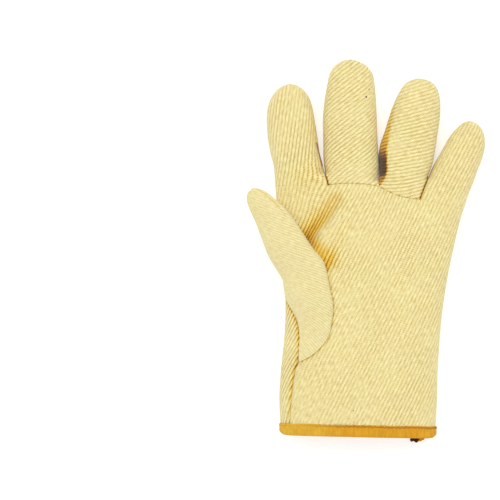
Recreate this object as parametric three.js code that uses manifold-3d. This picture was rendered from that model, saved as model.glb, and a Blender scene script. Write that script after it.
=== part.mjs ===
// Heat-resistant work glove of woven aramid, left hand, lying on its back with the palm up.
// Millimetres, +Z up. The fingers point along +Y, the thumb is at -X, and the glove rests on z = 0.
// The glove is sewn from a back, a palm, a separate front for the middle and the ring finger,
// and a thumb set into a leaf-shaped hole. A folded tape binds the hem.
// All walls stand round one open hollow for the hand.
import * as THREE from "three";
import { mergeVertices } from "three/addons/utils/BufferGeometryUtils.js";
import Module from "manifold-3d";

const wasm = await Module();
wasm.setup();

// Cloth and seams
const WALL = 3; // twill and its felted inside, together
const SEAM_GAP = 0.3; // left between two sewn pieces
const SEAM_Z = 5; // height of the seam that joins the back to the fronts
const FLOOR_SINK = 3; // how far the round sections would reach below the floor, before it flattens them

// Hem and its tape
const HEM_X = -6; // middle of the hem
const HEM_Y = -145.4;
const HEM_SLOPE = -0.0215; // the hem runs a little aslant
const TAPE_THICK = 1.2;
const TAPE_GAP = 0.3; // between the tape and the cloth inside it
const TAPE_DEPTH = 7.8; // how far the tape folds over each side of the cloth
const TAPE_LIFT_END = -118; // from the tape to here, the back comes down on the floor
const TAPE_END = { x: 40, y: -146.7, width: 15, length: 7, thick: 1.5, turn: 0.27 }; // its loose end

const BODY_SIDES = 32;
const FINGER_SIDES = 16;
const OVAL_POWER = 2.3; // 2 is an ellipse, more is squarer
const BODY_MID = 0.44; // widest level of a section, as a share of its height
const FINGER_MID = 0.46;
const MIDDLE_Y = 0.95; // moves the whole glove so that its box is centred on the origin

// Hand body, a row for each section from the hem to the knuckles:
// y, x of the left and right edge, height of the palm's surface
const BODY = [
  { y: HEM_Y, left: -66, right: 53.6, top: 40.5 },
  { y: -135, left: -66.6, right: 54.2, top: 41 },
  { y: -117, left: -67.6, right: 55.6, top: 41 },
  { y: -94, left: -66.3, right: 55.8, top: 40 },
  { y: -74, left: -64.2, right: 57.2, top: 39 },
  { y: -55, left: -63, right: 58.8, top: 38.5 },
  { y: -39, left: -63.4, right: 60.6, top: 38 },
  { y: -23, left: -65, right: 63.2, top: 37 },
  { y: -8, left: -67, right: 66.3, top: 36 },
  { y: 8, left: -68.6, right: 69.8, top: 34.5 },
  { y: 22, left: -69.4, right: 73.2, top: 32.5 },
  { y: 34, left: -69.6, right: 76.2, top: 30 },
  { y: 44, left: -69, right: 78.4, top: 27.5 },
  { y: 51, left: -66.5, right: 77, top: 23 },
  { y: 57, left: -58, right: 66, top: 15 },
];

// Fingers, a row for each section from the palm to the tip:
// x and y of the left edge, x and y of the right edge, lowest and highest level
const FINGERS = {
  index: [
    [-65, 4, -33, 4, -3, 14],
    [-69.3, 34, -31, 34, -3, 25],
    [-71.6, 58, -32.7, 60, -3, 25.5],
    [-74.5, 72, -36.2, 75, -3, 24.5],
    [-77.6, 90, -38.6, 93.5, -2, 24],
    [-77.8, 106, -41.3, 109.5, -0.5, 24],
    [-76.3, 114, -42.6, 116.5, 0.5, 24],
    [-74.5, 119.5, -44.5, 121, 1.5, 23.6],
    [-71.4, 124.3, -47.4, 125.2, 3.2, 22.6],
    [-66.5, 128.4, -51.3, 128.8, 6, 20.5],
    [-61.5, 130.6, -56, 130.7, 9.5, 17.5],
  ],
  middle: [
    [-30, 8, 8, 8, -3, 16],
    [-32.6, 38, 10.5, 38, -3, 26],
    [-32.8, 60, 10.2, 60, -3, 26],
    [-33.2, 84, 9, 84, -2.5, 25],
    [-33.2, 110, 8.2, 110, -1, 24.5],
    [-31, 124.5, 7.4, 124.5, 0.2, 24.3],
    [-29.4, 133.8, 6, 133.8, 1.2, 24],
    [-28, 139.6, 4.6, 139.6, 2.2, 23.5],
    [-25, 144, 0.9, 144, 4, 22],
    [-19.6, 148, -4.8, 148, 7, 19.5],
    [-14.5, 150.1, -9.7, 150.1, 10.5, 16.5],
  ],
  ring: [
    [9, 8, 42, 4, -3, 16],
    [9, 38, 47, 35, -3, 25.5],
    [9.6, 60, 49.4, 57, -3, 25.5],
    [10.2, 78, 53.3, 74, -2.5, 24.5],
    [14, 91, 55.6, 88, -1.5, 24],
    [18.6, 106, 57.8, 103, -0.3, 24],
    [22.2, 116.6, 58.3, 113.4, 1, 23.8],
    [25, 121.4, 57.4, 119.6, 2, 23.2],
    [28.2, 127, 55.6, 126.2, 4, 22],
    [32.4, 132, 51.2, 132, 6.5, 20],
    [37.2, 134.4, 43.8, 134.4, 10, 17],
  ],
  little: [
    [34, 22, 66, 8, -3, 13],
    [41.5, 45, 75.8, 31.5, -3, 23.5],
    [47.2, 56, 81.6, 47.5, -3, 24],
    [54.2, 69.2, 87.4, 61.8, -2.5, 22.5],
    [59.9, 78.8, 91.5, 71.6, -1.5, 21.5],
    [64.4, 87.4, 93.2, 80.8, 0.5, 21],
    [68.3, 92.4, 92.8, 87.6, 2, 20.5],
    [71.6, 96.8, 91, 93.2, 3.8, 19.5],
    [75.6, 100, 87.8, 98, 6.2, 18],
    [79, 101.7, 83.6, 101.2, 9, 15.5],
  ],
};

// Thumb, a row for each section from the wrist to the tip:
// x, y and z of the left edge, x, y and z of the right edge, rise above them and drop below them.
// Its first LEAF_ROWS rows lie in the palm, as a leaf-shaped piece.
const THUMB = [
  [-52.6, -85, 32.5, -47.4, -85, 34.5, 1.2, 4],
  [-52.2, -76, 31.2, -35.2, -75, 36, 2.5, 6],
  [-52, -66, 30.3, -29.2, -67.5, 36.2, 3.6, 8],
  [-54.5, -53, 28.5, -25.6, -53, 36.2, 4.8, 9],
  [-62.8, -39, 23, -23, -40.6, 36, 6.5, 9],
  [-63.8, -34, 23, -26.4, -25, 35.2, 8, 9],
  [-65.1, -25, 24, -33.8, -7.6, 34.6, 9, 10],
  [-70.6, -15.6, 24.5, -41.2, 2.6, 34.5, 9.5, 10],
  [-76.8, -6.2, 25, -49.1, 11.8, 34.2, 9.5, 9.5],
  [-83.4, 10.4, 25.5, -58.2, 26, 33.6, 9, 8.6],
  [-87.4, 21.8, 25.5, -64.4, 34, 32.8, 8.4, 8],
  [-91.8, 32, 25.5, -72.5, 41.5, 31, 7.4, 7],
  [-93.2, 40.6, 26, -79.9, 47.4, 29.6, 5, 4.6],
  [-91.4, 46, 27, -85.4, 48.6, 28.4, 2.2, 2.2],
];
const LEAF_ROWS = 7;
const LEAF_LOW = 18; // the leaf's edge on the side of the hand

// Hollows in the palm's surface: centre, half lengths along x and y, depth
const HOLLOWS = [
  { x: -36, y: 18, reachX: 14, reachY: 24, depth: 6.5 }, // along the thumb's inner edge
  { x: -56, y: 16, reachX: 18, reachY: 22, depth: 4 }, // where the thumb lies over the hand
];

// Seams in plan, from one end to the other
const MIDDLE_RING_SEAM = [
  [-38, 200], [-37, 148], [-36.3, 101.4], [-34.7, 78], [-32.2, 60], [-29.2, 50.7], [-16, 49.9],
  [-5.8, 50.3], [5, 49.5], [13.7, 47.6], [23, 44], [30.8, 41], [37.8, 39], [41.7, 39.4],
  [43.6, 43], [48, 56.2], [53, 68.6], [56.5, 78], [62, 92], [65.9, 117], [72, 200],
];
const MIDDLE_RING_SPLIT = [[13.7, 47.2], [12.1, 56.2], [10.2, 78], [12.1, 97.5], [15.2, 117], [19, 200]];
// On the thumb's side of the cuff the back turns up over the edge, as far as this line.
const BACK_TURNED_UP = [
  [-60.6, -170], [-60.3, -135], [-58.2, -110], [-55.6, -93], [-51.4, -82], [-56, -50], [-59, -41], [-80, -35],
];

const MATERIALS = {
  aramid: new THREE.MeshStandardMaterial({ color: 0xecdb94, roughness: 0.9, metalness: 0 }),
  tape: new THREE.MeshStandardMaterial({ color: 0xe0a030, roughness: 0.75, metalness: 0 }),
};

// A closed mesh as a manifold-3d solid, turned so that its faces point out.
function solidFrom(positions, triangles) {
  const mesh = new wasm.Mesh({
    numProp: 3,
    vertProperties: new Float32Array(positions),
    triVerts: new Uint32Array(triangles),
  });
  const solid = new wasm.Manifold(mesh);
  if (solid.volume() > 0) return solid;
  for (let i = 0; i < triangles.length; i += 3) {
    [triangles[i + 1], triangles[i + 2]] = [triangles[i + 2], triangles[i + 1]];
  }
  return solidFrom(positions, triangles);
}

function solidFromGeometry(geometry) {
  geometry.deleteAttribute("normal");
  geometry.deleteAttribute("uv");
  const merged = mergeVertices(geometry, 1e-4);
  return solidFrom([...merged.attributes.position.array], [...merged.index.array]);
}

// Skin through rings of equally many points, closed by a fan at each end.
function loft(rings) {
  const sides = rings[0].length;
  const positions = rings.flat(2);
  const triangles = [];
  for (let row = 0; row + 1 < rings.length; row++) {
    for (let k = 0; k < sides; k++) {
      const a = row * sides + k;
      const b = row * sides + ((k + 1) % sides);
      triangles.push(a, b, b + sides, a, b + sides, a + sides);
    }
  }
  for (const row of [0, rings.length - 1]) {
    const centre = positions.length / 3;
    for (const axis of [0, 1, 2]) {
      positions.push(rings[row].reduce((sum, point) => sum + point[axis], 0) / sides);
    }
    for (let k = 0; k < sides; k++) {
      const a = row * sides + k;
      const b = row * sides + ((k + 1) % sides);
      triangles.push(...(row === 0 ? [centre, b, a] : [centre, a, b]));
    }
  }
  return solidFrom(positions, triangles);
}

// Points of a unit oval, counterclockwise from +X, as a superellipse.
function oval(sides) {
  const bend = (v) => Math.sign(v) * Math.abs(v) ** (2 / OVAL_POWER);
  return Array.from({ length: sides }, (_, k) => {
    const angle = (2 * Math.PI * k) / sides;
    return [bend(Math.cos(angle)), bend(Math.sin(angle))];
  });
}

// Depth of all hollows at a point of the palm, as rounded bumps turned over.
function hollowDepth(x, y) {
  return HOLLOWS.reduce((sum, hollow) => {
    const u = (x - hollow.x) / hollow.reachX;
    const v = (y - hollow.y) / hollow.reachY;
    return sum + hollow.depth * Math.exp(-(u * u + v * v));
  }, 0);
}

// The floor flattens every section. Under the tape it is lifted by the tape's thickness.
function floorAt(y) {
  const share = (y - (HEM_Y + TAPE_DEPTH + 4)) / (TAPE_LIFT_END - (HEM_Y + TAPE_DEPTH + 4));
  return (TAPE_THICK + TAPE_GAP) * (1 - Math.min(1, Math.max(0, share)));
}

// Oval section between a left and a right point, drawn in by the inset.
function section(row, inset, sides) {
  const [lx, ly, lz] = row.left;
  const [rx, ry, rz] = row.right;
  const half = Math.hypot(rx - lx, ry - ly) / 2;
  const keep = (half - inset) / half;
  return oval(sides).map(([u, v]) => {
    const x = (lx + rx) / 2 + ((rx - lx) / 2) * keep * u;
    const y = (ly + ry) / 2 + ((ry - ly) / 2) * keep * u;
    const level = (lz + rz) / 2 + ((rz - lz) / 2) * keep * u;
    const reach = (v > 0 ? row.up : row.down) - inset;
    const hollow = row.hollow && v > 0 ? hollowDepth(x, y) * v : 0;
    return [x, y, Math.max(level + reach * v - hollow, floorAt(y) + inset)];
  });
}

// Closed tube through sections. With an inset it is the inside of the cloth: drawn in all round,
// with its tip behind the outside's by the inset. A negative inset gives a looser skin.
function tube(rows, inset, sides) {
  const along = (axis) => rows.at(-1).left[axis] - rows[0].left[axis];
  const length = Math.hypot(along(0), along(1));
  const back = [0, 1].map((axis) => (-along(axis) / length) * inset);
  const moved = rows.map((row, i) => {
    const share = i / (rows.length - 1);
    const shift = ([x, y, z]) => [x + back[0] * share, y + back[1] * share, z];
    return { ...row, left: shift(row.left), right: shift(row.right) };
  });
  const roomy = moved.filter(({ left, right, up, down }) => {
    const half = Math.hypot(right[0] - left[0], right[1] - left[1]) / 2;
    return half > inset + 1.5 && Math.min(up, down) > inset + 0.6;
  });
  return loft(roomy.map((row) => section(row, inset, sides)));
}

function body(inset, open) {
  const rows = BODY.map(({ y, left, right, top }, i) => {
    const aslant = (x) => (i === 0 ? y - open + HEM_SLOPE * (x - HEM_X) : y);
    const level = top * BODY_MID;
    return {
      left: [left, aslant(left), level],
      right: [right, aslant(right), level],
      up: top - level,
      down: level + FLOOR_SINK,
      hollow: true,
    };
  });
  return tube(rows, inset, BODY_SIDES);
}

function finger(table, inset) {
  const rows = table.map(([lx, ly, rx, ry, low, high]) => {
    const level = low + (high - low) * FINGER_MID;
    return { left: [lx, ly, level], right: [rx, ry, level], up: high - level, down: level - low };
  });
  return tube(rows, inset, FINGER_SIDES);
}

function thumbTube(inset) {
  const rows = THUMB.map(([lx, ly, lz, rx, ry, rz, up, down]) => {
    return { left: [lx, ly, lz], right: [rx, ry, rz], up, down };
  });
  return tube(rows, inset, FINGER_SIDES);
}

// Upright solid over an outline in plan, from one height to another.
function prism(outline, low, high) {
  const shape = new THREE.Shape(outline.map(([x, y]) => new THREE.Vector2(x, y)));
  const geometry = new THREE.ExtrudeGeometry(shape, { depth: high - low, bevelEnabled: false });
  geometry.translate(0, 0, low);
  return solidFromGeometry(geometry);
}

// A line in plan moved sideways, to its left for a positive distance.
function beside(line, distance, closed) {
  const last = line.length - 1;
  return line.map(([x, y], i) => {
    const [ax, ay] = line[i > 0 ? i - 1 : closed ? last : 0];
    const [bx, by] = line[i < last ? i + 1 : closed ? 0 : last];
    const length = Math.hypot(bx - ax, by - ay);
    return [x - ((by - ay) / length) * distance, y + ((bx - ax) / length) * distance];
  });
}

// Thin upright wall along a line in plan, which cuts a seam of SEAM_GAP.
function seamWall(line, low, high) {
  const left = beside(line, SEAM_GAP / 2, false);
  const right = beside(line, -SEAM_GAP / 2, false);
  return prism([...left, ...right.reverse()], low, high);
}

// The smallest of a cut solid's pieces whose box holds the point.
function pieceAt(pieces, [x, y, z]) {
  const size = (piece) => {
    const { min, max } = piece.boundingBox();
    return (max[0] - min[0]) * (max[1] - min[1]) * (max[2] - min[2]);
  };
  const holds = pieces.filter((piece) => {
    const { min, max } = piece.boundingBox();
    return min[0] < x && x < max[0] && min[1] < y && y < max[1] && min[2] < z && z < max[2];
  });
  return holds.sort((a, b) => size(a) - size(b))[0];
}

const unite = (solids) => solids.reduce((whole, solid) => whole.add(solid));

// The whole hollow glove, before its seams
const fingerTables = Object.values(FINGERS);
const hand = unite([body(0, 0), ...fingerTables.map((table) => finger(table, 0))]);
const handLoose = unite([body(-SEAM_GAP, 0), ...fingerTables.map((table) => finger(table, -SEAM_GAP))]);
const handInside = unite([body(WALL, 5), ...fingerTables.map((table) => finger(table, WALL))]);
const shell = hand.add(thumbTube(0)).subtract(handInside.add(thumbTube(WALL)));

// Outline of the thumb's leaf in the palm, counterclockwise
const leafRows = THUMB.slice(0, LEAF_ROWS);
const leafLine = [
  ...leafRows.map(([, , , rx, ry]) => [rx, ry]),
  ...leafRows.map(([lx, ly]) => [lx, ly]).reverse(),
];
const leaf = prism(leafLine, LEAF_LOW, 80);
const leafCup = prism(beside(leafLine, -SEAM_GAP, true), LEAF_LOW - SEAM_GAP, 79)
  .subtract(leaf)
  .intersect(handLoose);

// The cuts of all seams
const backEdge = solidFromGeometry(new THREE.BoxGeometry(400, 500, SEAM_GAP).translate(0, 0, SEAM_Z));
const turnedUp = [...BACK_TURNED_UP, [-120, -35], [-120, -170]];
const seams = unite([
  backEdge.subtract(prism(turnedUp, 0, 10)),
  seamWall(BACK_TURNED_UP, SEAM_Z - SEAM_GAP / 2, 80).subtract(leaf),
  seamWall(MIDDLE_RING_SEAM, SEAM_Z, 80),
  seamWall(MIDDLE_RING_SPLIT, SEAM_Z, 80),
  leafCup,
  handLoose.subtract(hand).subtract(leaf),
]);
const pieces = shell.subtract(seams).decompose();

const cloth = {
  back_panel: pieceAt(pieces, [0, 0, 1]),
  palm_panel: pieceAt(pieces, [0, -20, 34]),
  middle_finger_front: pieceAt(pieces, [-12, 110, 20]),
  ring_finger_front: pieceAt(pieces, [36, 100, 20]),
  thumb: pieceAt(pieces, [-75, 20, 30]),
};

// Tape folded over the hem: a band round the cloth's edge, less the cloth and a gap
function tapeBand(inset, low, high) {
  const slab = new THREE.BoxGeometry(300, high - low, 200).translate(0, (low + high) / 2, 0);
  slab.rotateZ(Math.atan(HEM_SLOPE)).translate(HEM_X, HEM_Y, 0);
  return body(inset, 5).intersect(solidFromGeometry(slab));
}
const tapeLow = -TAPE_GAP - TAPE_THICK;
const clothSlot = tapeBand(-TAPE_GAP, -TAPE_GAP, TAPE_DEPTH + 1).subtract(
  tapeBand(WALL + TAPE_GAP, -1, TAPE_DEPTH + 2),
);
const looseEnd = new THREE.BoxGeometry(TAPE_END.width, TAPE_END.length, TAPE_END.thick);
looseEnd.rotateZ(TAPE_END.turn).translate(TAPE_END.x, TAPE_END.y, TAPE_END.thick / 2);
const hemTape = tapeBand(tapeLow, tapeLow, TAPE_DEPTH)
  .subtract(tapeBand(WALL + TAPE_GAP + TAPE_THICK, tapeLow - 1, TAPE_DEPTH + 1))
  .subtract(clothSlot)
  .add(solidFromGeometry(looseEnd));

// A solid as a named mesh
function part(name, solid, material) {
  const mesh = solid.getMesh();
  const geometry = new THREE.BufferGeometry();
  geometry.setAttribute("position", new THREE.BufferAttribute(new Float32Array(mesh.vertProperties), 3));
  geometry.setIndex([...mesh.triVerts]);
  geometry.translate(0, MIDDLE_Y, 0);
  geometry.computeVertexNormals();
  const made = new THREE.Mesh(geometry, material);
  made.name = name;
  return made;
}

const glove = new THREE.Group();
for (const [name, solid] of Object.entries(cloth)) glove.add(part(name, solid, MATERIALS.aramid));
glove.add(part("hem_binding", hemTape, MATERIALS.tape));

export default glove;
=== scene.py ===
# %% [markdown]
# Heat-resistant work glove
# This lesson dresses a plain solid model of a sewn aramid glove. The model is loaded first and stays
# fixed: it says where each piece lies. Every piece of cloth is then made again as a fine surface,
# worked out with numpy, that has the roundness, the seams and the weave of the real one.

import bpy
import numpy as np
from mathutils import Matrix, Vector


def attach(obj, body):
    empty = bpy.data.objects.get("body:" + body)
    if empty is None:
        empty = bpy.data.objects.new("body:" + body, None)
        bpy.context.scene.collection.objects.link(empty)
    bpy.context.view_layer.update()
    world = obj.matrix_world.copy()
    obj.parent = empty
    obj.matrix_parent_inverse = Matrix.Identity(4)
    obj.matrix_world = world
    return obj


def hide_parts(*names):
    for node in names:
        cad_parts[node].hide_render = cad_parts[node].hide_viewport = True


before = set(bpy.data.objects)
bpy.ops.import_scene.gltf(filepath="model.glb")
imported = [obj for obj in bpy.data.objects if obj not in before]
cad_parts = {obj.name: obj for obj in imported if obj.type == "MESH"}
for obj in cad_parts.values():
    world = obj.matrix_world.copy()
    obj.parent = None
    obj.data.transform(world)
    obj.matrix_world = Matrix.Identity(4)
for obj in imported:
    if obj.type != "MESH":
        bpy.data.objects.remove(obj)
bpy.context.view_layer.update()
print("pieces of the model:", sorted(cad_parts))

# %% [markdown]
# Tables and smooth curves
# A glove is drawn as a pattern cutter would: by the edges of its pieces, point after point, in
# millimetres. A smooth curve is then led through each column of such a table. Its slope at a row is
# that of the two neighbours, so the outline has no corners and still passes through every point.

# %% Helpers for curves
MM = 0.001
MIDDLE_Y = 0.95  # centres the glove on the origin
OVAL_POWER = 2.3  # 2 is an ellipse, more is squarer


def through(stations, values, at, end=1.0):
    """Smooth curve through rows of values: in each gap a cubic that starts and ends with the slopes
    of the neighbouring rows. The last slope is multiplied by the end factor."""
    x = np.asarray(stations, float)
    y = np.asarray(values, float).reshape(len(x), -1)
    slope = np.gradient(y, x, axis=0)
    slope[-1] = slope[-1] * end
    at = np.clip(at, x[0], x[-1])
    i = np.clip(np.searchsorted(x, at) - 1, 0, len(x) - 2)
    gap = (x[i + 1] - x[i])[..., None]
    t = (at - x[i])[..., None] / gap
    return (
        (1 + 2 * t) * (1 - t) ** 2 * y[i]
        + t * (1 - t) ** 2 * gap * slope[i]
        + t * t * (3 - 2 * t) * y[i + 1]
        + t * t * (t - 1) * gap * slope[i + 1]
    )


def read(table, at):
    """Second column of a table where its first is at a value, along straight lines between rows."""
    stations, values = np.transpose(table)
    return np.interp(at, stations, values)


def ease(t):
    """Goes from 0 to 1 with no kink at either end: three t squared less two t cubed."""
    t = np.clip(t, 0, 1)
    return t * t * (3 - 2 * t)


def bend(v):
    """Turns a cosine or a sine into the squarer one of the oval."""
    return np.sign(v) * np.abs(v) ** (2 / OVAL_POWER)


def falloff(distance, reach):
    """1 at no distance and 0.37 at the reach: e to the minus square of distance over reach."""
    return np.exp(-((distance / reach) ** 2))


def bell(x, y, row):
    """A rounded bump of height one, by its centre x, y and its reach in x and y: a falloff in both."""
    return np.exp(-(((x - row[0]) / row[2]) ** 2) - ((y - row[1]) / row[3]) ** 2)


def oval(degrees):
    """Share of the width and share of the height that the oval has reached at an angle: half of one
    less the cosine, and the sine, both raised to the power of two over OVAL_POWER."""
    angle = np.radians(degrees)
    return (1 - bend(np.cos(angle))) / 2, np.abs(np.sin(angle)) ** (2 / OVAL_POWER)


def lengths(points, axis=1):
    """Distance from the first point along each row of a grid, or with axis 0 along each lane."""
    step = np.linalg.norm(np.diff(points, axis=axis), axis=-1)
    return np.insert(np.cumsum(step, axis=axis), 0, 0, axis=axis)


def line_distance(x, y, line):
    """Distance in plan from each point to the nearest stretch of a line of points."""
    best = np.full(np.shape(x), 1e9)
    for (ax, ay), (bx, by) in zip(line[:-1], line[1:]):
        length2 = (bx - ax) ** 2 + (by - ay) ** 2
        t = np.clip(((x - ax) * (bx - ax) + (y - ay) * (by - ay)) / length2, 0, 1)
        best = np.minimum(best, np.hypot(x - ax - t * (bx - ax), y - ay - t * (by - ay)))
    return best


# %% [markdown]
# The hand's oval
# Laid down empty, the body of the glove is a flattened oval: its back lies on the table and the palm
# arches over it. One table gives its left edge, right edge and height from the hem to the knuckles.
# The palm is not smooth: the stiff cloth dips where the thumb crosses it, in two creases with a
# bump between them.

# %% Body of the glove
HEM_X, HEM_Y, HEM_SLOPE = -6, -144.8, -0.0215  # a point of the hem and its slope in plan
BODY_MID = 0.44  # share of the height at which the oval is widest
FLOOR_SINK = 3  # how far the oval's lower half would reach into the table, where the cloth lies flat
TAPE_LIFT, TAPE_LIFT_END = 1.5, -118  # the tape lifts the cloth off the table, up to this y

BODY = np.array(
    [  # y, left edge, right edge, height
        [-147.5, -66.2, 53.6, 40.5],
        [-135, -66.8, 54.3, 41],
        [-117, -67.6, 55.4, 41],
        [-94, -66.4, 55.9, 40],
        [-74, -64.3, 57.2, 39],
        [-55, -62.9, 58.8, 38.5],
        [-39, -63.2, 60.8, 38],
        [-23, -65, 63.3, 37],
        [-8, -67, 66.3, 36],
        [8, -68.6, 69.8, 34.5],
        [22, -69.4, 73.2, 32.5],
        [34, -69.8, 76.9, 30],
        [44, -70.2, 80.3, 27.5],
        [54.6, -71.3, 84.6, 25.5],
        [66, -73, 89, 24],
    ]
)
CREASES = [  # ends of the crease in plan, depth, half width
    ([(-46, 8), (-36, 20), (-24, 39)], 5.2, 4.2),
    ([(-31, -12), (-24, 2), (-15, 20)], 2.6, 5.0),
]
HOLLOWS = np.array(
    [  # x, y, reach in x and in y, depth
        [-40, 22, 13, 20, 3.6],
        [-57, 16, 16, 22, 4.0],
    ]
)
BUMP = np.array([-34, 8, 6.5, 9, 2.4])  # between the creases, the same columns


def palm_dip(x, y):
    """How far the palm's cloth dips at a point: hollows and creases, less the bump."""
    dip = sum(row[4] * bell(x, y, row) for row in HOLLOWS) - BUMP[4] * bell(x, y, BUMP)
    for line, depth, half in CREASES:
        dip = dip + depth * falloff(line_distance(x, y, line), half)
    return dip


def slack(x, y):
    """Low waves of stiff cloth, a sum of a few long sines that run in different directions."""
    return (
        0.34 * np.sin(x / 11 + y / 23 + 0.6)
        + 0.28 * np.sin(y / 14 - x / 31 + 1.9)
        + 0.2 * np.sin(x / 6.3 - y / 9.5 + 0.4)
        + 0.14 * np.sin(x / 4.1 + y / 5.7 + 2.2)
    )


def hand_height(x, y, below, plain=False):
    """Height of the hand's oval at a point in plan, over the palm or below, on the back. The plain
    oval has no hollows and no waves."""
    left, right, top = np.moveaxis(through(BODY[:, 0], BODY[:, 1:], y), -1, 0)
    mid = top * BODY_MID
    across = np.clip(2 * (x - left) / (right - left) - 1, -1, 1)
    rise = (1 - np.abs(across) ** OVAL_POWER) ** (1 / OVAL_POWER)
    relief = 0 if plain else slack(x, y) - palm_dip(x, y)
    over = mid + (top - mid + relief) * rise
    return np.where(below, mid - (mid + FLOOR_SINK) * rise, over)


middle_height = hand_height(np.array(0.0), np.array(-40.0), below=False)
print("height of the palm's middle:", middle_height.round(1), "mm")

# %% [markdown]
# Four strips
# The glove's front and its back are both cut as four strips side by side, which part at the crotches
# and become the fingers. Each strip is listed by its left and its right edge, from the base seam to
# the fingertip, with its lowest and highest level. Below the base seam it runs on to the hem.

# %% Outlines of the fingers
FINGER_MID = 0.46
KNUCKLE_TOP = 26  # height of every strip at the base seam

STRIPS = {
    "index": [  # left x, y, right x, y, low, high
        [-70.7, 50, -29.25, 50.7, -3, KNUCKLE_TOP],
        [-71.2, 58, -31.7, 58, -3, 25.5],
        [-71.8, 65.5, -33.6, 66.5, -3, 25],
        [-73.8, 73, -36.0, 75.5, -3, 24.5],
        [-76.4, 86, -37.8, 88.5, -2.4, 24],
        [-77.3, 98, -39.7, 100.3, -1.5, 24],
        [-77.0, 109.4, -41.7, 111.2, -0.2, 24],
        [-75.2, 116.2, -43.6, 117.6, 1.2, 23.7],
        [-71.9, 122, -46.7, 122.8, 3, 22.6],
        [-66.9, 126.8, -51.2, 127.1, 6, 20.4],
        [-59.0, 129.8, -59.0, 129.8, 12.6, 12.6],
    ],
    "middle": [
        [-29.25, 50.7, 10.2, 49.5, -3, KNUCKLE_TOP],
        [-31.4, 57.5, 10.0, 56.0, -3, 26],
        [-32.6, 66, 10.4, 64, -3, 25.8],
        [-33.2, 84, 9.3, 83, -2.6, 25],
        [-33.3, 106, 8.4, 106, -1.2, 24.5],
        [-31.4, 122, 7.5, 122, 0, 24.4],
        [-29.8, 131, 6.6, 131, 0.8, 24.2],
        [-28.2, 137.8, 5.1, 137.8, 2, 23.7],
        [-25.2, 142.9, 1.6, 142.9, 4, 22],
        [-20.2, 146.6, -4.3, 146.6, 7, 19.5],
        [-12.2, 148.8, -12.2, 148.8, 13, 13],
    ],
    "ring": [
        [10.2, 49.5, 41.9, 39.6, -3, KNUCKLE_TOP],
        [10.1, 56.0, 45.2, 48.5, -3, 25.5],
        [10.4, 64, 49.0, 58.5, -3, 25.5],
        [10.0, 73.5, 52.2, 68, -2.8, 25],
        [11.4, 83, 54.4, 79, -2.2, 24.5],
        [14.8, 93, 55.8, 89, -1.4, 24.2],
        [17.7, 102.5, 57.3, 99, -0.4, 24],
        [20.4, 110.8, 58.1, 108.4, 0.5, 24],
        [23.0, 117.2, 58.0, 116.2, 1.8, 23.6],
        [25.9, 123, 56.8, 123, 3.4, 22.8],
        [29.3, 128.3, 54.2, 128.5, 5.6, 21.2],
        [33.9, 132.0, 49.2, 132.2, 8.4, 18.6],
        [41.3, 133.9, 41.3, 133.9, 13.4, 13.4],
    ],
    "little": [
        [41.9, 39.6, 76.2, 31.5, -3, KNUCKLE_TOP],
        [45.2, 48.8, 80.2, 43.5, -3, 24],
        [49.5, 59, 84.4, 54, -3, 23.2],
        [54.2, 68.8, 87.4, 62.5, -2.4, 22.4],
        [59.6, 78.2, 90.8, 71.5, -1.2, 21.6],
        [64.4, 87, 93.0, 81.6, 0.4, 21],
        [67.8, 91.8, 92.6, 88.4, 2, 20.4],
        [71.7, 95.9, 91.0, 93.4, 3.8, 19.4],
        [75.7, 99.2, 87.8, 97.8, 6.4, 17.8],
        [81.0, 100.9, 81.0, 100.9, 12, 12],
    ],
}
HEM_CUTS = [-66.2, -33.7, -1.4, 26.1, 53.6]  # x of the strips' edges at the hem
HEM_ROUND = 2.3  # how far the hem is rounded up where it turns over the sides
OPEN = -999  # a strip's outer side has no crotch, so it is open from the start
CROTCH_Y = {"index": (OPEN, 60.8), "middle": (60.8, 55), "ring": (55, 56.6), "little": (56.6, OPEN)}
SEAM_SWAY = {"index": 0, "middle": 1.8, "ring": -2.4, "little": 0}  # bow of the base seam
WEB = 0.82  # share of a finger's side wall that touches its neighbour, below the crotch
CLOTH_STEP = 1.25  # width of the faces, along and across

# On the thumb's side of the cuff the back turns up over the edge, to this line: y and x
TURNED_UP_END = -38.5
TURNED_UP_LEVEL = 8  # there the back's cloth is on the turned-up strip above this level
TURNED_UP = np.array(
    [[-147.5, -60.7], [-135, -60.3], [-110, -58.2], [-93, -55.6], [-86, -53.2], [-78, -52.2],
     [-66, -52.2], [-56, -53.6], [-48.6, -57.2], [-42, -60.8], [TURNED_UP_END, -63.3]]
)

# %% [markdown]
# From flat pattern to round cloth
# A point of a strip is found in two steps. In plan it lies between the strip's left and right edge.
# Its height comes from an oval: that of the finger near the tip, that of the hand near the hem, and a
# mix of both around the knuckles, which leaves the soft valleys under each crotch. The seams between
# front and back run low on the sides, so both sheets turn past the widest point and meet there.

# %% The sheet's formula
FINGER_SEAM = 20  # degrees below the widest point, on the fingers
HAND_SEAM = 70  # the same on the hand, whose strips open more slowly
BASE_LINE = [(-70.7, 50), (-29.25, 50.7), (10.2, 49.5), (41.9, 39.6), (76.2, 31.5)]


def to_hand(x, y):
    """Share of the finger's own oval in the height: it starts a little below the line of the
    knuckles and is whole a little above it."""
    reach = 8 + 13 * ease((-36 - x) / 20) + 10 * ease((x - 50) / 18)
    return ease((y - read(BASE_LINE, x) + reach) / (2 * reach))


def to_finger(y):
    """Share of the finger's even spread of faces, which starts lower than the oval does."""
    return ease((y + 15) / 60)


def outer_turn(y):
    """Angle of the seam below the widest point on the outer sides of the glove."""
    return HAND_SEAM + (FINGER_SEAM - HAND_SEAM) * to_finger(y)


def inner_turn(y, crotch):
    """The same between two fingers: nothing below the crotch, and soon the finger's angle above."""
    return FINGER_SEAM * ease((y - crotch) / 9)


def web(y, crotch):
    """Share of the side wall that is closed. Two fingers touch up to their crotch and part there."""
    return WEB * (1 - ease((y - crotch + 2.6) / 3))


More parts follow.
